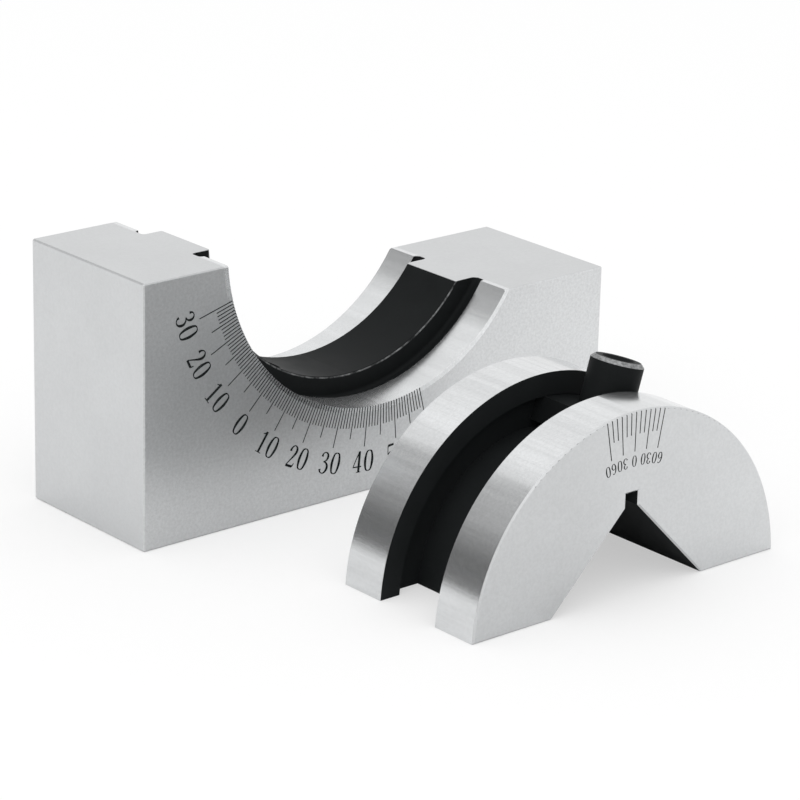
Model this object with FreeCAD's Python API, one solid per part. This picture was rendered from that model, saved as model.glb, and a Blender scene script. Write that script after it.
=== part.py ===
"""Adjustable-angle V block, shown taken apart.

A stepped cradle block stands at the back. The half-round rocker stands in front of it on its
two feet, with its 90 degree V face down and its T-nut in the curved T-slot. A cap screw in the
cradle block pulls the T-nut outwards and so locks the rocker when the two are put together.

Frame: origin at the centre of the cradle block's bottom face, X along its length, Y to its
back, Z up. Millimetres.
"""
import FreeCAD, Part
import math
import os

# Cradle block
BASE_LENGTH = 150.0
BLOCK_WIDTH = 46.0
TALL_ARM_HEIGHT = 68.0
LOW_ARM_HEIGHT = 45.0
EDGE_CHAMFER = 0.4

# Cradle: two ground lands with a guide rail between them and a relief groove beside the rail
CRADLE_RADIUS = 49.2
CRADLE_FLOOR = 22.5
CRADLE_CENTRE_X = -0.8
RAIL_WIDTH = 19.5
RAIL_PROUD = 4.5
RAIL_EDGE = 0.35
RELIEF_WIDTH = 3.65
RELIEF_DEPTH = 1.2
RELIEF_ROUND = 1.0

# Angle scale on the cradle block, in degrees about the cradle's axis, from straight down
SCALE_ZERO_ANGLE = -45.0
SCALE_TO_LEFT = 30
SCALE_TO_RIGHT = 60
SCALE_MARK_LENGTH = 5.4
SCALE_FIVE_LENGTH = 8.2
SCALE_TEN_LENGTH = 10.5
MARK_WIDTH = 0.28
MARK_DEPTH = 0.15

# Rocker, standing on its feet in front of the cradle block
ARC_CLEARANCE = 0.2
RAIL_CLEARANCE = 0.05
CENTRE_BELOW_FEET = 2.7
V_MOUTH_WIDTH = 48.9
V_ROOT_SLOT_WIDTH = 4.0
V_ROOT_RELIEF = 1.6
STAND_GAP = 44.3
STAND_OFFSET_X = 0.2

# Curved T-slot of the rocker
SLOT_LIP = 5.9
UNDERCUT_DEPTH = 8.1
UNDERCUT_SIDE = 2.9

# Vernier on the rocker: eleven degrees of the scale are cut into six parts on each side
VERNIER_PARTS = 6
VERNIER_DEGREES = 11.0
VERNIER_MARK_LENGTH = 5.8
VERNIER_LONG_LENGTH = 10.0

# T-nut
NUT_STEM_RADIUS = 6.65
NUT_STEM_PROUD = 5.8
NUT_HEAD_LENGTH = 22.0
NUT_HEAD_CLEARANCE = 0.15
NUT_CHAMFER = 0.9
NUT_LEAN = 16.8
THREAD_CORE_RADIUS = 3.4
THREAD_COUNTERSINK = 0.8

# Clamp screw, an M8 cap screw, and its hole through the cradle block
SCREW_RADIUS = 4.0
SCREW_LENGTH = 20.0
SCREW_HEAD_RADIUS = 6.5
SCREW_HEAD_HEIGHT = 8.0
SCREW_CHAMFER = 0.6
SOCKET_ACROSS_FLATS = 6.0
SOCKET_DEPTH = 4.0
STEM_CLEARANCE = 0.1
STEM_END_CLEARANCE = 1.0
SCREW_CLEARANCE = 0.5
HEAD_CLEARANCE = 0.75
SCREW_SEAT_CLEARANCE = 0.1
SEAT_WEB = 10.2

# How far a cutting tool runs past the solid that it cuts
OVERRUN = 1.0

# Values worked out from the sizes above
HALF_WIDTH = BLOCK_WIDTH / 2
CRADLE_CENTRE_Z = CRADLE_FLOOR + CRADLE_RADIUS
RAIL_RADIUS = CRADLE_RADIUS - RAIL_PROUD
ROCKER_RADIUS = CRADLE_RADIUS - ARC_CLEARANCE
ROCKER_Y = -HALF_WIDTH - STAND_GAP - HALF_WIDTH
MOUTH_WIDTH = RAIL_WIDTH + 2 * RAIL_CLEARANCE
LIP_RADIUS = ROCKER_RADIUS - SLOT_LIP
SLOT_ROOT_RADIUS = LIP_RADIUS - UNDERCUT_DEPTH
UNDERCUT_WIDTH = MOUTH_WIDTH + 2 * UNDERCUT_SIDE
NUT_TIP_RADIUS = ROCKER_RADIUS + NUT_STEM_PROUD
CLAMP_ANGLE = SCALE_ZERO_ANGLE + (SCALE_TO_RIGHT - SCALE_TO_LEFT) / 2
STEM_BORE_END = NUT_TIP_RADIUS + STEM_END_CLEARANCE
SCREW_SEAT = STEM_BORE_END + SEAT_WEB

Y_AXIS = FreeCAD.Vector(0, 1, 0)
Z_AXIS = FreeCAD.Vector(0, 0, 1)
ORIGIN = FreeCAD.Vector(0, 0, 0)
CRADLE_CENTRE = FreeCAD.Vector(CRADLE_CENTRE_X, 0, CRADLE_CENTRE_Z)
ROCKER_CENTRE = FreeCAD.Vector(STAND_OFFSET_X, ROCKER_Y, -CENTRE_BELOW_FEET)


def prism(outline, half_depth):
    """Solid from an outline of (x, z) points, from -half_depth to half_depth along Y."""
    points = [FreeCAD.Vector(x, -half_depth, z) for x, z in outline]
    wire = Part.makePolygon(points + points[:1])
    return Part.Face(wire).extrude(Y_AXIS * (2 * half_depth))


def cylinder_y(radius, half_depth):
    """Cylinder about the Y axis, centred on the origin."""
    start = FreeCAD.Vector(0, -half_depth, 0)
    return Part.makeCylinder(radius, 2 * half_depth, start, Y_AXIS)


def rounded_corner(start, corner, end):
    """Quarter-round edge from start to end, inside the right-angled corner."""
    centre = start + end - corner
    middle = centre + (corner - centre).normalize() * (start - centre).Length
    return Part.Arc(start, middle, end).toShape()


def cradle_tool():
    """Body of revolution that cuts the lands, the relief grooves and the guide rail."""
    side = HALF_WIDTH + OVERRUN
    rail = RAIL_WIDTH / 2
    groove = rail + RELIEF_WIDTH
    bottom = CRADLE_RADIUS + RELIEF_DEPTH
    shoulder = bottom - RELIEF_ROUND

    def at(y, radius):
        return FreeCAD.Vector(0, y, -radius)

    def half_profile(sign):
        """Edges from the outer end of the axis to the middle of the rail's face."""
        edges = [
            Part.makePolygon([at(sign * side, 0), at(sign * side, CRADLE_RADIUS),
                              at(sign * groove, CRADLE_RADIUS), at(sign * groove, shoulder)]),
            rounded_corner(at(sign * groove, shoulder), at(sign * groove, bottom),
                           at(sign * (groove - RELIEF_ROUND), bottom)),
            Part.makePolygon([at(sign * (groove - RELIEF_ROUND), bottom),
                              at(sign * (rail + RELIEF_ROUND), bottom)]),
            rounded_corner(at(sign * (rail + RELIEF_ROUND), bottom), at(sign * rail, bottom),
                           at(sign * rail, shoulder)),
            Part.makePolygon([at(sign * rail, shoulder), at(sign * rail, RAIL_RADIUS + RAIL_EDGE),
                              at(sign * (rail - RAIL_EDGE), RAIL_RADIUS), at(0, RAIL_RADIUS)]),
        ]
        return [edge for shape in edges for edge in shape.Edges]

    axis_edge = Part.makePolygon([at(-side, 0), at(side, 0)]).Edges
    edges = half_profile(-1) + half_profile(1) + axis_edge
    profile = Part.Face(Part.Wire(Part.__sortEdges__(edges)))
    return profile.revolve(ORIGIN, Y_AXIS, 360)


def mark(inner_radius, outer_radius, angle):
    """Cutting tool for one engraved radial line on a front face, about the origin.

    The angle is in degrees from straight down, towards +X.
    """
    start = FreeCAD.Vector(-MARK_WIDTH / 2, -HALF_WIDTH - OVERRUN, -outer_radius)
    tool = Part.makeBox(MARK_WIDTH, OVERRUN + MARK_DEPTH, outer_radius - inner_radius, start)
    tool.rotate(ORIGIN, Y_AXIS, -angle)
    return tool


def scale_marks():
    """Degree marks of the cradle block, longer at each five and each ten."""
    marks = []
    for degree in range(-SCALE_TO_LEFT, SCALE_TO_RIGHT + 1):
        length = SCALE_MARK_LENGTH
        if degree % 5 == 0:
            length = SCALE_FIVE_LENGTH
        if degree % 10 == 0:
            length = SCALE_TEN_LENGTH
        marks.append(mark(CRADLE_RADIUS - OVERRUN, CRADLE_RADIUS + length,
                          SCALE_ZERO_ANGLE + degree))
    return Part.makeCompound(marks)


def vernier_marks():
    """Vernier marks of the rocker, about its own centre, from its rim inwards."""
    marks = []
    for part in range(-VERNIER_PARTS, VERNIER_PARTS + 1):
        is_long = part % (VERNIER_PARTS // 2) == 0
        length = VERNIER_LONG_LENGTH if is_long else VERNIER_MARK_LENGTH
        angle = 180 + part * VERNIER_DEGREES / VERNIER_PARTS
        marks.append(mark(ROCKER_RADIUS - length, ROCKER_RADIUS + OVERRUN, angle))
    return Part.makeCompound(marks)


def stepped_block():
    """Block with the tall arm on the left and the low arm on the right, edges chamfered."""
    end = BASE_LENGTH / 2
    step = CRADLE_CENTRE_X
    block = prism([(-end, 0), (end, 0), (end, LOW_ARM_HEIGHT), (step, LOW_ARM_HEIGHT),
                   (step, TALL_ARM_HEIGHT), (-end, TALL_ARM_HEIGHT)], HALF_WIDTH)

    def is_outer(edge):
        """An edge is outer unless the cradle takes both of its ends away."""
        return any(abs(vertex.X - step) > CRADLE_RADIUS for vertex in edge.Vertexes)

    return block.makeChamfer(EDGE_CHAMFER, [edge for edge in block.Edges if is_outer(edge)])


def clamp_direction():
    angle = math.radians(CLAMP_ANGLE)
    return FreeCAD.Vector(math.sin(angle), 0, -math.cos(angle))


def clamp_hole():
    """Bore for the T-nut's stem, clearance hole and counterbore, on one radial axis."""
    direction = clamp_direction()
    far = CRADLE_CENTRE.Length + BASE_LENGTH
    stem_bore = Part.makeCylinder(NUT_STEM_RADIUS + STEM_CLEARANCE, STEM_BORE_END, ORIGIN, direction)
    through = Part.makeCylinder(SCREW_RADIUS + SCREW_CLEARANCE, far, ORIGIN, direction)
    counterbore = Part.makeCylinder(SCREW_HEAD_RADIUS + HEAD_CLEARANCE, far,
                                    direction * SCREW_SEAT, direction)
    return stem_bore.fuse([through, counterbore])


def make_base():
    tools = [cradle_tool(), scale_marks(), clamp_hole()]
    base = stepped_block()
    for tool in tools:
        tool.translate(CRADLE_CENTRE)
        base = base.cut(tool)
    return base


def t_slot_tool():
    """Body of revolution with the T-slot's section, about the rocker's centre."""
    mouth = MOUTH_WIDTH / 2
    undercut = UNDERCUT_WIDTH / 2
    section = [(-undercut, SLOT_ROOT_RADIUS), (undercut, SLOT_ROOT_RADIUS), (undercut, LIP_RADIUS),
               (mouth, LIP_RADIUS), (mouth, ROCKER_RADIUS + OVERRUN),
               (-mouth, ROCKER_RADIUS + OVERRUN), (-mouth, LIP_RADIUS), (-undercut, LIP_RADIUS)]
    points = [FreeCAD.Vector(0, y, -radius) for y, radius in section]
    face = Part.Face(Part.makePolygon(points + points[:1]))
    return face.revolve(ORIGIN, Y_AXIS, 360)


def v_tool():
    """The 90 degree V with its root slot, about the rocker's centre, open downwards."""
    feet = CENTRE_BELOW_FEET
    apex = feet + V_MOUTH_WIDTH / 2
    slot = V_ROOT_SLOT_WIDTH / 2
    mouth = V_MOUTH_WIDTH / 2 + OVERRUN
    outline = [(-mouth, feet - OVERRUN), (-slot, apex - slot), (-slot, apex + V_ROOT_RELIEF),
               (slot, apex + V_ROOT_RELIEF), (slot, apex - slot), (mouth, feet - OVERRUN)]
    return prism(outline, HALF_WIDTH + OVERRUN)


def lies_on_end_face(edge):
    """True for an outline edge of the rocker's front or back face."""
    return all(abs(abs(vertex.Y) - HALF_WIDTH) < 1e-6 for vertex in edge.Vertexes) \
        and abs(edge.Vertexes[0].Y - edge.Vertexes[-1].Y) < 1e-6


def make_rocker():
    """Segment of a disc above its feet, with the V, the T-slot and the vernier cut in it."""
    reach = ROCKER_RADIUS + OVERRUN
    disc = cylinder_y(ROCKER_RADIUS, HALF_WIDTH)
    above_feet = Part.makeBox(2 * reach, 2 * reach, reach,
                              FreeCAD.Vector(-reach, -reach, CENTRE_BELOW_FEET))
    segment = disc.common(above_feet)
    body = segment.cut(v_tool())
    body = body.makeChamfer(EDGE_CHAMFER, [edge for edge in body.Edges if lies_on_end_face(edge)])
    rocker = body.cut(t_slot_tool()).cut(vernier_marks())
    rocker.translate(ROCKER_CENTRE)
    return rocker


def make_t_nut():
    """Curved head in the undercut and round stem through the mouth, tapped along its axis."""
    head_bottom = SLOT_ROOT_RADIUS + NUT_HEAD_CLEARANCE
    head_top = LIP_RADIUS - NUT_HEAD_CLEARANCE
    head_width = UNDERCUT_WIDTH - 2 * NUT_HEAD_CLEARANCE
    blank = Part.makeBox(NUT_HEAD_LENGTH, head_width, head_top,
                         FreeCAD.Vector(-NUT_HEAD_LENGTH / 2, -head_width / 2, head_bottom))
    head = blank.common(cylinder_y(head_top, head_width))
    stem = Part.makeCylinder(NUT_STEM_RADIUS, NUT_TIP_RADIUS - head_bottom - OVERRUN,
                             Z_AXIS * (head_bottom + OVERRUN), Z_AXIS)
    rim = [edge for edge in stem.Edges if edge.BoundBox.ZMin > NUT_TIP_RADIUS - 1e-6]
    stem = stem.makeChamfer(NUT_CHAMFER, rim)
    core = Part.makeCylinder(THREAD_CORE_RADIUS, NUT_TIP_RADIUS, ORIGIN, Z_AXIS)
    sink = Part.makeCone(THREAD_CORE_RADIUS, THREAD_CORE_RADIUS + THREAD_COUNTERSINK,
                         THREAD_COUNTERSINK, Z_AXIS * (NUT_TIP_RADIUS - THREAD_COUNTERSINK), Z_AXIS)
    nut = head.fuse(stem).cut(core.fuse(sink)).removeSplitter()
    nut.rotate(ORIGIN, Y_AXIS, NUT_LEAN)
    nut.translate(ROCKER_CENTRE)
    return nut


def hexagon_prism(across_flats, height, start):
    """Six-sided prism about the Z axis, upwards from the height start."""
    corner = across_flats / math.sqrt(3)
    points = []
    for side in range(6):
        angle = math.radians(60 * side)
        points.append(FreeCAD.Vector(corner * math.cos(angle), corner * math.sin(angle), start))
    return Part.Face(Part.makePolygon(points + points[:1])).extrude(Z_AXIS * height)


def make_clamp_screw():
    """Cap screw, made with its shank up along Z and its head's seat at the origin."""
    head = Part.makeCylinder(SCREW_HEAD_RADIUS, SCREW_HEAD_HEIGHT, Z_AXIS * -SCREW_HEAD_HEIGHT, Z_AXIS)
    outer = [edge for edge in head.Edges if edge.BoundBox.ZMax < -SCREW_HEAD_HEIGHT + 1e-6]
    head = head.makeChamfer(SCREW_CHAMFER, outer)
    shank = Part.makeCylinder(SCREW_RADIUS, SCREW_LENGTH, ORIGIN, Z_AXIS)
    tip = [edge for edge in shank.Edges if edge.BoundBox.ZMin > SCREW_LENGTH - 1e-6]
    shank = shank.makeChamfer(SCREW_CHAMFER, tip)
    socket = hexagon_prism(SOCKET_ACROSS_FLATS, SOCKET_DEPTH + OVERRUN,
                           -SCREW_HEAD_HEIGHT - OVERRUN)
    screw = head.fuse(shank).cut(socket).removeSplitter()
    screw.rotate(ORIGIN, Y_AXIS, -CLAMP_ANGLE)
    screw.translate(CRADLE_CENTRE + clamp_direction() * (SCREW_SEAT + SCREW_SEAT_CLEARANCE))
    return screw


def main():
    os.makedirs("parts", exist_ok=True)
    nodes = {
        "base": make_base(),
        "rocker": make_rocker(),
        "t_nut": make_t_nut(),
        "clamp_screw": make_clamp_screw(),
    }
    for name, shape in nodes.items():
        solid = shape.Solids[0]
        box = solid.BoundBox
        print(name, "solids", len(shape.Solids), "valid", solid.isValid(),
              "volume", round(solid.Volume, 1),
              "x", round(box.XMin, 2), round(box.XMax, 2),
              "y", round(box.YMin, 2), round(box.YMax, 2),
              "z", round(box.ZMin, 2), round(box.ZMax, 2))
        solid.exportStep(os.path.join("parts", name + ".step"))


main()
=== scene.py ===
"""Looks of the adjustable-angle V block: ground steel, black oxide, filled scale marks, numerals."""

import bpy
import math
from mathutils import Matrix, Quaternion, Vector
from mathutils.geometry import delaunay_2d_cdt


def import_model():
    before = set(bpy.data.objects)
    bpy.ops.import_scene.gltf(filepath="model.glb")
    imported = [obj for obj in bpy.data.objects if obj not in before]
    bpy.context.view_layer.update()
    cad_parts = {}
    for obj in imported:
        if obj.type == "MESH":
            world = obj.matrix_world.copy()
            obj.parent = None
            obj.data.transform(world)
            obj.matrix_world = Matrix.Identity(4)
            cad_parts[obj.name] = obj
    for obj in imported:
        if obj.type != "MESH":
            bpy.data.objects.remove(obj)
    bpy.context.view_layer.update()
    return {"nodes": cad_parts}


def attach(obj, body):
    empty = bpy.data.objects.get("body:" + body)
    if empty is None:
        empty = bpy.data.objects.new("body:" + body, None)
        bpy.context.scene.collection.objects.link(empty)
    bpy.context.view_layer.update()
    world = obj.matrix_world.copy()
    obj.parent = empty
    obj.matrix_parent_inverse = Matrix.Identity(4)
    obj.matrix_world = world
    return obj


MM = 0.001

# The CAD's own sizes that the looks follow, in metres
HALF_LENGTH = 75.0 * MM
TALL_TOP = 68.0 * MM
LOW_TOP = 45.0 * MM
CRADLE_AXIS = (-0.8 * MM, 71.7 * MM)
CRADLE_RADIUS = 49.2 * MM
RAIL_RADIUS = 44.7 * MM
RAIL_HALF_WIDTH = 9.75 * MM
GROOVE_RADIUS = 50.45 * MM
LAND_EDGE = 13.4 * MM
CLAMP_ANGLE = math.radians(-30)
CLAMP_HOLE_RADIUS = 7.45 * MM
ROCKER_AXIS = (0.2 * MM, -2.7 * MM)
ROCKER_RADIUS = 49.0 * MM
ROCKER_MIDDLE_Y = -90.3 * MM
HALF_WIDTH = 23.0 * MM
EDGE_CHAMFER = 0.4 * MM
MARK_DEPTH = 0.15 * MM
NUT_LEAN = math.radians(16.8)
NUT_TIP = 54.8 * MM
NUT_RIM_RADIUS = 5.6 * MM
NUT_BORE_REACH = 3.5 * MM
SCREW_HEAD_FACE = -74.1 * MM
SCREW_RIM_RADIUS = 5.7 * MM
SCREW_THREAD_REACH = 4.1 * MM
THREAD_PITCH = 1.25 * MM

# Margins that keep a mask clear of the faces beside it
HAIR = 0.01 * MM
SKIN = 0.1 * MM

# Reach of the engraved marks: the scale from its axis, up and to the right, and the vernier inwards
SCALE_REACH = 60 * MM
SCALE_TOP = 60 * MM
SCALE_RIGHT = 17 * MM
VERNIER_FOOT = 38 * MM
VERNIER_LOWEST = 37 * MM

# Steel: brightness, painted light and shade that change it along a face, and roughness
STEEL_METALLIC = 0.92
STEEL_TINT = (0.985, 1.0, 1.01)
BASE_TONE = 0.61
# Painted shade: the base's front face is written darker than its other faces
BASE_FRONT_SHADE_TONE = 0.53
# Painted light: the front face brightens towards its right end
BASE_FRONT_PAINTED_LIGHT_ALONG = (-0.01, 0.14)
# Painted shade: the front face darkens towards its top
BASE_FRONT_PAINTED_SHADE_UP = (0.05, -0.02)
# Painted light: the base's left end is written brighter than its other faces
BASE_END_PAINTED_LIGHT = 0.03
BASE_LAND_GAIN = 0.14
BASE_ROUGHNESS = 0.30
BASE_LAND_ROUGHNESS = 0.17
ROCKER_TONE = 0.60
ROCKER_LAND_TONE = 0.75
# Painted light: the rocker's front and back faces brighten towards +x
ROCKER_PAINTED_LIGHT_ALONG = (-0.01, 0.06)
ROCKER_ROUGHNESS = 0.34
ROCKER_LAND_ROUGHNESS = 0.16
STEEL_BUMP = 0.015 * MM

# Black oxide: its deepest tone in the open and in the rocker's slots
BLACK_TINT = (0.9, 1.0, 1.03)
BLACK_SPECULAR = 0.04
BLACK_DEEPEST = 0.009
SLOT_DEEPEST = 0.014
BLACK_SPREAD = 0.006
BLACK_BUMP = 0.01 * MM
THREAD_BUMP = 12

# Numerals: tops towards the arc's axis, centred on a radius; (angle from straight down, text)
SCALE_ZERO = -45
SCALE_LABELS = [(SCALE_ZERO + degree, str(abs(degree))) for degree in range(-30, 61, 10)]
SCALE_LABEL_RADIUS = 63.6 * MM
SCALE_LABEL_HEIGHT = 5.7 * MM
VERNIER_LABELS = [(180 + 5.85 * place, str(30 * abs(place))) for place in range(-2, 3)]
VERNIER_LABEL_RADIUS = 36.6 * MM
VERNIER_LABEL_HEIGHT = 2.75 * MM
DIGIT_PITCH = 0.66
STROKE_WEIGHT = 1.15
NUMERAL_PROUD = 0.02 * MM

# Strokes of each digit on a body one unit high: (x, y, width) along its middle line
RIGHT_BOWL = [(0, .98, .035), (.14, .89, .075), (.205, .5, .115), (.14, .11, .075), (0, .02, .035)]
DIGITS = {
    "0": [RIGHT_BOWL, [(-x, y, width) for x, y, width in RIGHT_BOWL]],
    "1": [[(.02, 0, .105), (.02, .99, .105)],
          [(-.16, .84, .035), (-.07, .88, .05), (.03, .97, .06)],
          [(-.15, .018, .036), (.19, .018, .036)]],
    "2": [[(-.17, .70, .12), (-.16, .82, .08), (-.08, .94, .05), (.03, .975, .045),
           (.15, .88, .09), (.17, .72, .11), (.10, .54, .085), (-.05, .30, .055), (-.2, .05, .045)],
          [(-.21, .05, .1), (.17, .05, .1)],
          [(.16, .04, .07), (.2, .12, .05), (.22, .22, .03)]],
    "3": [[(-.17, .78, .115), (-.13, .92, .06), (0, .975, .045), (.13, .9, .08), (.16, .76, .105),
           (.1, .62, .07), (-.05, .545, .04)],
          [(-.05, .545, .04), (.1, .5, .07), (.2, .36, .1), (.19, .2, .11), (.1, .06, .07),
           (-.03, .025, .045), (-.15, .09, .06), (-.19, .21, .115)]],
    "4": [[(.1, .97, .06), (-.08, .62, .045), (-.22, .29, .045)],
          [(-.24, .27, .05), (.25, .27, .05)],
          [(.1, .99, .11), (.1, 0, .11)],
          [(-.02, .018, .036), (.22, .018, .036)]],
    "5": [[(-.13, .945, .1), (.19, .945, .09)],
          [(-.13, .96, .04), (-.17, .52, .035)],
          [(-.17, .53, .04), (-.05, .61, .055), (.1, .57, .09), (.2, .38, .115), (.16, .14, .09),
           (.03, .03, .05), (-.1, .05, .06), (-.18, .17, .115)]],
    "6": [[(.17, .88, .08), (.05, .97, .045), (-.1, .86, .075), (-.195, .6, .105),
           (-.195, .3, .11), (-.12, .08, .07), (0, .02, .04)],
          [(0, .02, .04), (.13, .09, .075), (.195, .3, .11), (.13, .5, .075), (.02, .565, .045),
           (-.1, .52, .045), (-.18, .42, .05)]],
}

# Camera, at the photograph's viewing angle
CAMERA_PLACE = Vector((-0.54003, -0.65460, 0.31641))
CAMERA_FORWARD = Vector((0.61650, 0.71374, -0.33241))
CAMERA_ROLL = math.radians(1.43)
CAMERA_LENS = 156.97

# Studio: white paper and sky, one wide lamp overhead
PAPER_SIZE = 6.0
PAPER_DROP = 0.05 * MM
PAPER_WHITE = (0.97, 0.97, 0.97, 1)
PAPER_GLOW = 0.5
SKY_STRENGTH = 0.9
KEY_PLACE = Vector((-0.4, -0.3, 1.5))
KEY_AIM = Vector((0, -0.03, 0.02))
KEY_SIZE = 2.4
KEY_WATTS = 7

# Grey card behind the object on the left, seen only in reflections
CARD_AZIMUTH = 23.5
CARD_DISTANCE = 1.5
CARD_WIDTH = 1.6
CARD_HEIGHT = 1.9
CARD_FADE = (0.3, 1.15)
CARD_GREYS = (0.1, 0.5)


class Field:
    """A shader value that ordinary Python arithmetic extends with math nodes."""

    def __init__(self, tree, socket):
        self.tree = tree
        self.socket = socket

    def _math(self, operation, *others):
        node = self.tree.nodes.new("ShaderNodeMath")
        node.operation = operation
        for place, value in enumerate((self, *others)):
            if isinstance(value, Field):
                self.tree.links.new(value.socket, node.inputs[place])
            else:
                node.inputs[place].default_value = value
        return Field(self.tree, node.outputs[0])

    def __add__(self, other):
        return self._math("ADD", other)

    def __sub__(self, other):
        return self._math("SUBTRACT", other)

    def __mul__(self, other):
        return self._math("MULTIPLY", other)

    def __abs__(self):
        return self._math("ABSOLUTE")

    def over(self, limit):
        return self._math("GREATER_THAN", limit)

    def under(self, limit):
        return self._math("LESS_THAN", limit)

    def either(self, other):
        return self._math("MAXIMUM", other)

    def both(self, other):
        return self._math("MULTIPLY", other)

    def opposite(self):
        return self * -1 + 1

    def sine(self):
        return self._math("SINE")

    def length_with(self, other):
        return (self * self + other * other)._math("SQRT")

    def ramp(self, low, high, to_low=0.0, to_high=1.0):
        """Smooth step from to_low below low to to_high above high."""
        node = self.tree.nodes.new("ShaderNodeMapRange")
        node.interpolation_type = "SMOOTHSTEP"
        self.tree.links.new(self.socket, node.inputs["Value"])
        node.inputs["From Min"].default_value = low
        node.inputs["From Max"].default_value = high
        node.inputs["To Min"].default_value = to_low
        node.inputs["To Max"].default_value = to_high
        return Field(self.tree, node.outputs["Result"])

    def mix(self, low, high):
        """Value from low where this is 0 to high where it is 1."""
        return self * (high - low) + low


def coordinates(tree):
    """Position in the CAD's own frame, as three fields, and the vector itself."""
    place = tree.nodes.new("ShaderNodeTexCoord").outputs["Object"]
    split = tree.nodes.new("ShaderNodeSeparateXYZ")
    tree.links.new(place, split.inputs[0])
    return [Field(tree, split.outputs[axis]) for axis in "XYZ"] + [place]


def grain(tree, place, scale, stretch=(1, 1, 1), detail=3.0, roughness=0.5):
    """Noise from 0 to 1 over a position, drawn out where stretch is small."""
    mapping = tree.nodes.new("ShaderNodeMapping")
    mapping.inputs["Scale"].default_value = stretch
    tree.links.new(place, mapping.inputs["Vector"])
    noise = tree.nodes.new("ShaderNodeTexNoise")
    noise.inputs["Scale"].default_value = scale
    noise.inputs["Detail"].default_value = detail
    noise.inputs["Roughness"].default_value = roughness
    tree.links.new(mapping.outputs["Vector"], noise.inputs["Vector"])
    return Field(tree, noise.outputs["Fac"])


def tinted(tree, brightness, tint):
    """Colour whose three channels are the brightness times the tint."""
    node = tree.nodes.new("ShaderNodeCombineColor")
    for socket, share in zip(node.inputs, tint):
        tree.links.new((brightness * share).socket, socket)
    return node.outputs[0]


def new_material(name):
    material = bpy.data.materials.new(name)
    material.use_nodes = True
    tree = material.node_tree
    tree.nodes.clear()
    output = tree.nodes.new("ShaderNodeOutputMaterial")
    return material, tree, output


def bumped(tree, height, distance):
    node = tree.nodes.new("ShaderNodeBump")
    node.inputs["Strength"].default_value = 1.0
    node.inputs["Distance"].default_value = distance
    tree.links.new(height.socket, node.inputs["Height"])
    return node.outputs["Normal"]


def steel_shader(tree, brightness, roughness, normal):
    shader = tree.nodes.new("ShaderNodeBsdfPrincipled")
    shader.inputs["Metallic"].default_value = STEEL_METALLIC
    tree.links.new(tinted(tree, brightness, STEEL_TINT), shader.inputs["Base Color"])
    tree.links.new(roughness.socket, shader.inputs["Roughness"])
    tree.links.new(normal, shader.inputs["Normal"])
    return shader.outputs[0]


def black_shader(tree, brightness, roughness, normal):
    shader = tree.nodes.new("ShaderNodeBsdfPrincipled")
    shader.inputs["Specular IOR Level"].default_value = BLACK_SPECULAR
    tree.links.new(tinted(tree, brightness, BLACK_TINT), shader.inputs["Base Color"])
    tree.links.new(roughness.socket, shader.inputs["Roughness"])
    tree.links.new(normal, shader.inputs["Normal"])
    return shader.outputs[0]


def mixed(tree, share, first, second):
    node = tree.nodes.new("ShaderNodeMixShader")
    tree.links.new(share.socket, node.inputs[0])
    tree.links.new(first, node.inputs[1])
    tree.links.new(second, node.inputs[2])
    return node.outputs[0]


def worn_shader(tree, rubbed):
    """Steel that shows where the black is rubbed off an edge."""
    return steel_shader(tree, rubbed.mix(0.2, 0.55), rubbed.mix(0.35, 0.5),
                        bumped(tree, rubbed, BLACK_BUMP))


def black_surface(tree, place, thread=None, deepest=BLACK_DEEPEST):
    """Black oxide over a machined surface: deep, slightly uneven, with a faint sheen."""
    cloud = grain(tree, place, 160, detail=4)
    fine = grain(tree, place, 1800, detail=2)
    brightness = cloud.mix(deepest, deepest + BLACK_SPREAD) + fine * 0.003
    roughness = cloud.mix(0.42, 0.58)
    height = fine if thread is None else fine + thread * THREAD_BUMP
    return black_shader(tree, brightness, roughness, bumped(tree, height, BLACK_BUMP))


def ground_mottle(tree, place):
    """Fine even grain of ground steel."""
    return grain(tree, place, 1300, detail=4, roughness=0.7)


def ground_lines(tree, place, detail, roughness):
    """Grinding lines across a land."""
    return grain(tree, place, 260, stretch=(1, 0.02, 1), detail=detail, roughness=roughness)


def base_black(x, y, z, across, up, radius):
    """Share of black on the base: rail and grooves, clamp hole and filled scale marks."""
    low_top = z.over(LOW_TOP - SKIN).both(z.under(LOW_TOP + SKIN)).both(x.over(0.0))
    on_top = z.over(TALL_TOP - SKIN).either(low_top)
    rail_zone = radius.under(GROOVE_RADIUS).both(abs(y).under(LAND_EDGE + 2 * HAIR))
    lean_x, lean_z = math.sin(CLAMP_ANGLE), -math.cos(CLAMP_ANGLE)
    from_axis = (across * lean_z - up * lean_x).length_with(y)
    hole = from_axis.under(CLAMP_HOLE_RADIUS).both(radius.over(RAIL_RADIUS)).both(z.over(5 * HAIR))
    marks = y.over(-HALF_WIDTH + HAIR).both(y.under(-HALF_WIDTH + MARK_DEPTH + 5 * HAIR))
    marks = marks.both(radius.under(SCALE_REACH)).both(radius.over(CRADLE_RADIUS + 3 * HAIR))
    marks = marks.both(z.under(SCALE_TOP)).both(x.under(SCALE_RIGHT))
    return rail_zone.both(on_top.opposite()).either(hole).either(marks)


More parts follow.
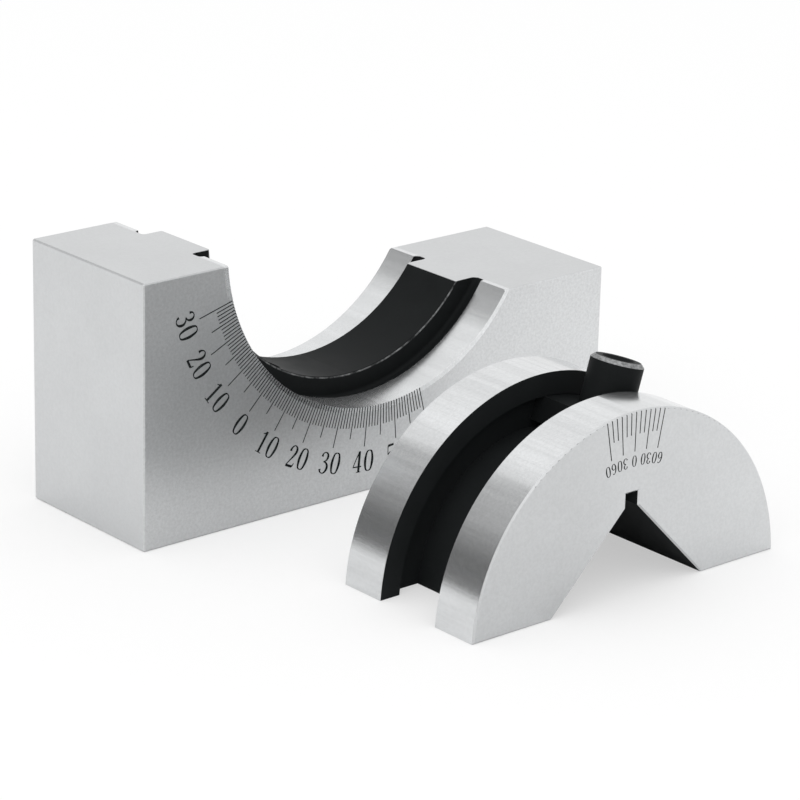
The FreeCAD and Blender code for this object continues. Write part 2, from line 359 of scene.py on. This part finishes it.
def base_material():
    material, tree, output = new_material("ground_steel_base")
    x, y, z, place = coordinates(tree)
    across, up = x - CRADLE_AXIS[0], z - CRADLE_AXIS[1]
    radius = across.length_with(up)
    land = radius.under(GROOVE_RADIUS).both(abs(y).over(LAND_EDGE))
    front = y.under(-HALF_WIDTH + 3 * SKIN)
    left_end = x.under(-HALF_LENGTH + SKIN)

    cloud = grain(tree, place, 55, detail=5, roughness=0.6)
    mottle = ground_mottle(tree, place)
    lines = ground_lines(tree, place, 3, 0.6)
    cross = grain(tree, place, 900, stretch=(0.05, 1, 1), detail=3)
    # Painted shade on the front face, with painted light towards its right end and its foot
    tone = front.mix(BASE_TONE, BASE_FRONT_SHADE_TONE)
    tone = tone + front * x.ramp(-HALF_LENGTH, HALF_LENGTH, *BASE_FRONT_PAINTED_LIGHT_ALONG)
    tone = tone + front * z.ramp(0, TALL_TOP, *BASE_FRONT_PAINTED_SHADE_UP)
    # The lands are ground brighter; the left end's gain is painted light
    tone = tone + land * BASE_LAND_GAIN + left_end * BASE_END_PAINTED_LIGHT
    blotch = front.mix(0.04, 0.11)
    variation = cloud.ramp(0.25, 0.75, 0.98, 1.02) * (mottle.ramp(0.2, 0.8, -1, 1) * blotch + 1.0)
    variation = variation * (land.both(lines.ramp(0.3, 0.7, -0.06, 0.02)) + 1.0)
    roughness = land.mix(BASE_ROUGHNESS, BASE_LAND_ROUGHNESS) + mottle * 0.05
    height = lines * land * 0.3 + (cross * 0.3 + mottle * 0.5) * land.opposite()
    steel = steel_shader(tree, tone * variation, roughness, bumped(tree, height, STEEL_BUMP))

    rubbed = grain(tree, place, 450, detail=4, roughness=0.7)
    edge = abs(y).over(RAIL_HALF_WIDTH - 2 * SKIN).both(abs(y).under(RAIL_HALF_WIDTH + 5 * HAIR))
    edge = edge.both(radius.under(RAIL_RADIUS + 5 * SKIN))
    dark = mixed(tree, edge.both(rubbed.ramp(0.3, 0.7)) * 0.5,
                 black_surface(tree, place), worn_shader(tree, rubbed))
    covered = mixed(tree, base_black(x, y, z, across, up, radius), steel, dark)
    tree.links.new(covered, output.inputs["Surface"])
    return material


def rocker_material():
    material, tree, output = new_material("ground_steel_rocker")
    x, y, z, place = coordinates(tree)
    across, up = x - ROCKER_AXIS[0], z - ROCKER_AXIS[1]
    radius = across.length_with(up)
    depth = abs(y - ROCKER_MIDDLE_Y)

    end_face = depth.over(HALF_WIDTH - EDGE_CHAMFER - 5 * HAIR)
    rim = radius.over(ROCKER_RADIUS - SKIN)
    feet = z.under(5 * HAIR)
    land = rim.both(end_face.opposite())
    bright = end_face.either(rim).either(feet)

    chamfer = (radius - (ROCKER_RADIUS - EDGE_CHAMFER)).either(0.0)
    marks = (depth + chamfer).under(HALF_WIDTH - HAIR).both(y.under(ROCKER_MIDDLE_Y))
    marks = marks.both(depth.over(HALF_WIDTH - EDGE_CHAMFER - MARK_DEPTH)).both(rim.opposite())
    marks = marks.both(radius.over(VERNIER_FOOT)).both(up.over(VERNIER_LOWEST))

    cloud = grain(tree, place, 60, detail=5, roughness=0.6)
    mottle = ground_mottle(tree, place)
    lines = ground_lines(tree, place, 6, 0.75)
    tone = land.mix(ROCKER_TONE, ROCKER_LAND_TONE)
    # Painted light on the rocker's front and back faces, brighter towards +x
    tone = tone + end_face * across.ramp(-50 * MM, 50 * MM, *ROCKER_PAINTED_LIGHT_ALONG)
    variation = cloud.ramp(0.25, 0.75, 0.98, 1.02) * mottle.ramp(0.25, 0.75, 0.95, 1.05)
    variation = variation * (land.both(lines.ramp(0.3, 0.7, -0.12, 0.03)) + 1.0)
    roughness = land.mix(ROCKER_ROUGHNESS, ROCKER_LAND_ROUGHNESS) + mottle * 0.06
    height = lines * land * 0.8 + mottle * 0.5 * land.opposite()
    steel = steel_shader(tree, tone * variation, roughness, bumped(tree, height, STEEL_BUMP))
    dark = black_surface(tree, place, deepest=SLOT_DEEPEST)
    covered = mixed(tree, bright.opposite().either(marks), steel, dark)
    tree.links.new(covered, output.inputs["Surface"])
    return material


def turned_part_material(name, axis_point, angle, rim, reach):
    """Black oxide on a part turned about an axis in the XZ plane, through a point.

    The rim, (least radius, low, high) along the axis, is where the black is rubbed off. The
    thread is cut all along the part, out to its reach from the axis.
    """
    material, tree, output = new_material(name)
    x, y, z, place = coordinates(tree)
    across, side, up = x - axis_point[0], y - axis_point[1], z - axis_point[2]
    along = across * math.sin(angle) + up * math.cos(angle)
    radius = (across * math.cos(angle) - up * math.sin(angle)).length_with(side)
    rubbed = grain(tree, place, 1100, detail=5, roughness=0.75)
    crest = (along * (2 * math.pi / THREAD_PITCH)).sine() * radius.under(reach)
    least, low, high = rim
    edge = radius.over(least).both(along.over(low)).both(along.under(high))
    dark = mixed(tree, edge.both(rubbed.ramp(0.35, 0.6, 0.45, 0.8)),
                 black_surface(tree, place, crest), worn_shader(tree, rubbed))
    tree.links.new(dark, output.inputs["Surface"])
    return material


def smooth_line(points, steps=8):
    """Catmull-Rom curve through (x, y, width) points; a straight stroke stays as it is."""
    if len(points) < 3:
        return points
    ends = [points[0], *points, points[-1]]
    line = []
    for a, b, c, d in zip(ends, ends[1:], ends[2:], ends[3:]):
        for step in range(steps):
            t = step / steps
            line.append(tuple(
                0.5 * (2 * q + (r - p) * t + (2 * p - 5 * q + 4 * r - s) * t * t
                       + (3 * q - p - 3 * r + s) * t ** 3)
                for p, q, r, s in zip(a, b, c, d)))
    return line + [points[-1]]


def ribbon(points):
    """Outline of a stroke: along one side of its middle line and back along the other."""
    line = smooth_line(points)
    left, right = [], []
    for place, (x, y, width) in enumerate(line):
        before = line[max(place - 1, 0)]
        after = line[min(place + 1, len(line) - 1)]
        along = Vector((after[0] - before[0], after[1] - before[1])).normalized()
        side = Vector((-along.y, along.x)) * (width * STROKE_WEIGHT / 2)
        left.append(Vector((x, y)) + side)
        right.append(Vector((x, y)) - side)
    return right + left[::-1]


def digit_triangles(digit):
    """The digit's strokes as one flat sheet of triangles."""
    points, faces = [], []
    for stroke in DIGITS[digit]:
        outline = ribbon(stroke)
        faces.append(list(range(len(points), len(points) + len(outline))))
        points += outline
    corners, _, triangles, _, _, strokes = delaunay_2d_cdt(points, [], faces, 1, 1e-5)
    return corners, [corner for corner, inside in zip(triangles, strokes) if inside]


def add_numerals(name, labels, axis, face_y, radius, height, material):
    """Numerals round an arc on a front face, as thin plates let into it."""
    points, faces = [], []
    for angle, text in labels:
        turn = math.radians(angle)
        right = Vector((math.cos(turn), 0, math.sin(turn)))
        up = Vector((-math.sin(turn), 0, math.cos(turn)))
        middle = Vector((axis[0], face_y, axis[1])) - up * radius
        for place, digit in enumerate(text):
            shift = (place - (len(text) - 1) / 2) * DIGIT_PITCH
            corners, triangles = digit_triangles(digit)
            start = len(points)
            points += [middle + (right * (x + shift) + up * (y - 0.5)) * height for x, y in corners]
            faces += [[start + corner for corner in triangle] for triangle in triangles]
    mesh = bpy.data.meshes.new(name)
    mesh.from_pydata(points, [], faces)
    mesh.materials.append(material)
    numerals = bpy.data.objects.new(name, mesh)
    bpy.context.scene.collection.objects.link(numerals)
    plate = numerals.modifiers.new("plate", "SOLIDIFY")
    plate.thickness = 2 * NUMERAL_PROUD
    plate.offset = 0.0
    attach(numerals, "block")


def ink_material():
    """Blackened engraving: matt and a little worn."""
    material, tree, output = new_material("scale_ink")
    place = coordinates(tree)[3]
    wear = grain(tree, place, 1500, detail=3)
    brightness = wear.ramp(0.45, 0.85, 0.012, 0.05)
    shader = black_shader(tree, brightness, wear.mix(0.5, 0.7), bumped(tree, wear, BLACK_BUMP))
    tree.links.new(shader, output.inputs["Surface"])
    return material


def dress(node, material):
    node.data.materials.clear()
    node.data.materials.append(material)


def add_floor():
    bpy.ops.mesh.primitive_plane_add(size=PAPER_SIZE, location=(0, 0, -PAPER_DROP))
    floor = bpy.context.object
    floor.name = "floor"
    material, tree, output = new_material("paper")
    paper = tree.nodes.new("ShaderNodeBsdfDiffuse")
    paper.inputs["Color"].default_value = PAPER_WHITE
    glow = tree.nodes.new("ShaderNodeEmission")
    rays = tree.nodes.new("ShaderNodeLightPath")
    seen = Field(tree, rays.outputs["Is Camera Ray"])
    share = mixed(tree, seen * PAPER_GLOW, paper.outputs[0], glow.outputs[0])
    tree.links.new(share, output.inputs["Surface"])
    floor.data.materials.append(material)


def add_world():
    world = bpy.data.worlds.new("studio")
    bpy.context.scene.world = world
    world.use_nodes = True
    tree = world.node_tree
    tree.nodes.clear()
    output = tree.nodes.new("ShaderNodeOutputWorld")
    ambient = tree.nodes.new("ShaderNodeBackground")
    ambient.inputs["Color"].default_value = (1, 1, 1, 1)
    ambient.inputs["Strength"].default_value = SKY_STRENGTH
    white = tree.nodes.new("ShaderNodeBackground")
    white.inputs["Color"].default_value = (1, 1, 1, 1)
    rays = tree.nodes.new("ShaderNodeLightPath")
    seen = Field(tree, rays.outputs["Is Camera Ray"])
    for name in ("Is Glossy Ray", "Is Transmission Ray"):
        seen = seen.either(Field(tree, rays.outputs[name]))
    shown = mixed(tree, seen, ambient.outputs[0], white.outputs[0])
    tree.links.new(shown, output.inputs["Surface"])


def add_card():
    """Grey card behind on the left: what the polished lands mirror beside the white studio."""
    turn = math.radians(CARD_AZIMUTH)
    edge = Vector((-math.sin(turn), math.cos(turn), 0)) * CARD_DISTANCE
    along = Vector((-math.cos(turn), -math.sin(turn), 0)) * CARD_WIDTH
    up = Vector((0, 0, CARD_HEIGHT))
    mesh = bpy.data.meshes.new("card")
    mesh.from_pydata([edge, edge + along, edge + along + up, edge + up], [], [(0, 1, 2, 3)])
    card = bpy.data.objects.new("card", mesh)
    bpy.context.scene.collection.objects.link(card)
    material, tree, output = new_material("grey_card")
    height = coordinates(tree)[2]
    glow = tree.nodes.new("ShaderNodeEmission")
    tree.links.new(height.ramp(*CARD_FADE, *CARD_GREYS).socket, glow.inputs["Strength"])
    tree.links.new(glow.outputs[0], output.inputs["Surface"])
    mesh.materials.append(material)
    card.visible_camera = False
    card.visible_diffuse = False
    card.visible_shadow = False


def add_key_lamp():
    lamp = bpy.data.lights.new("key", "AREA")
    lamp.size = KEY_SIZE
    lamp.energy = KEY_WATTS
    holder = bpy.data.objects.new("key", lamp)
    bpy.context.scene.collection.objects.link(holder)
    holder.location = KEY_PLACE
    holder.visible_camera = False
    holder.rotation_mode = "QUATERNION"
    holder.rotation_quaternion = (KEY_AIM - KEY_PLACE).to_track_quat("-Z", "Y")


def add_camera():
    camera = bpy.data.objects.new("camera", bpy.data.cameras.new("camera"))
    bpy.context.scene.collection.objects.link(camera)
    camera.data.sensor_width = 36.0
    camera.data.lens = CAMERA_LENS
    camera.data.clip_start = 0.05
    camera.location = CAMERA_PLACE
    camera.rotation_mode = "QUATERNION"
    level = CAMERA_FORWARD.to_track_quat("-Z", "Y")
    camera.rotation_quaternion = level @ Quaternion((0, 0, 1), CAMERA_ROLL)
    bpy.context.scene.camera = camera


def main():
    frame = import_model()
    nodes = frame["nodes"]

    nut_axis = (ROCKER_AXIS[0], ROCKER_MIDDLE_Y, ROCKER_AXIS[1])
    nut_rim = (NUT_RIM_RADIUS, NUT_TIP - 0.95 * MM, NUT_TIP + SKIN)
    nut_black = turned_part_material("black_oxide_nut", nut_axis, NUT_LEAN, nut_rim, NUT_BORE_REACH)
    screw_axis = (CRADLE_AXIS[0], 0, CRADLE_AXIS[1])
    screw_rim = (SCREW_RIM_RADIUS, SCREW_HEAD_FACE - SKIN, SCREW_HEAD_FACE + 7 * SKIN)
    screw_black = turned_part_material("black_oxide_screw", screw_axis, -CLAMP_ANGLE, screw_rim,
                                       SCREW_THREAD_REACH)
    dress(nodes["base"], base_material())
    dress(nodes["rocker"], rocker_material())
    dress(nodes["t_nut"], nut_black)
    dress(nodes["clamp_screw"], screw_black)

    add_floor()
    add_world()
    add_card()
    add_key_lamp()
    ink = ink_material()
    add_numerals("scale_numerals", SCALE_LABELS, CRADLE_AXIS, -HALF_WIDTH,
                 SCALE_LABEL_RADIUS, SCALE_LABEL_HEIGHT, ink)
    add_numerals("vernier_numerals", VERNIER_LABELS, ROCKER_AXIS, ROCKER_MIDDLE_Y - HALF_WIDTH,
                 VERNIER_LABEL_RADIUS, VERNIER_LABEL_HEIGHT, ink)
    add_camera()
    bpy.context.scene.view_settings.view_transform = "Standard"


main()
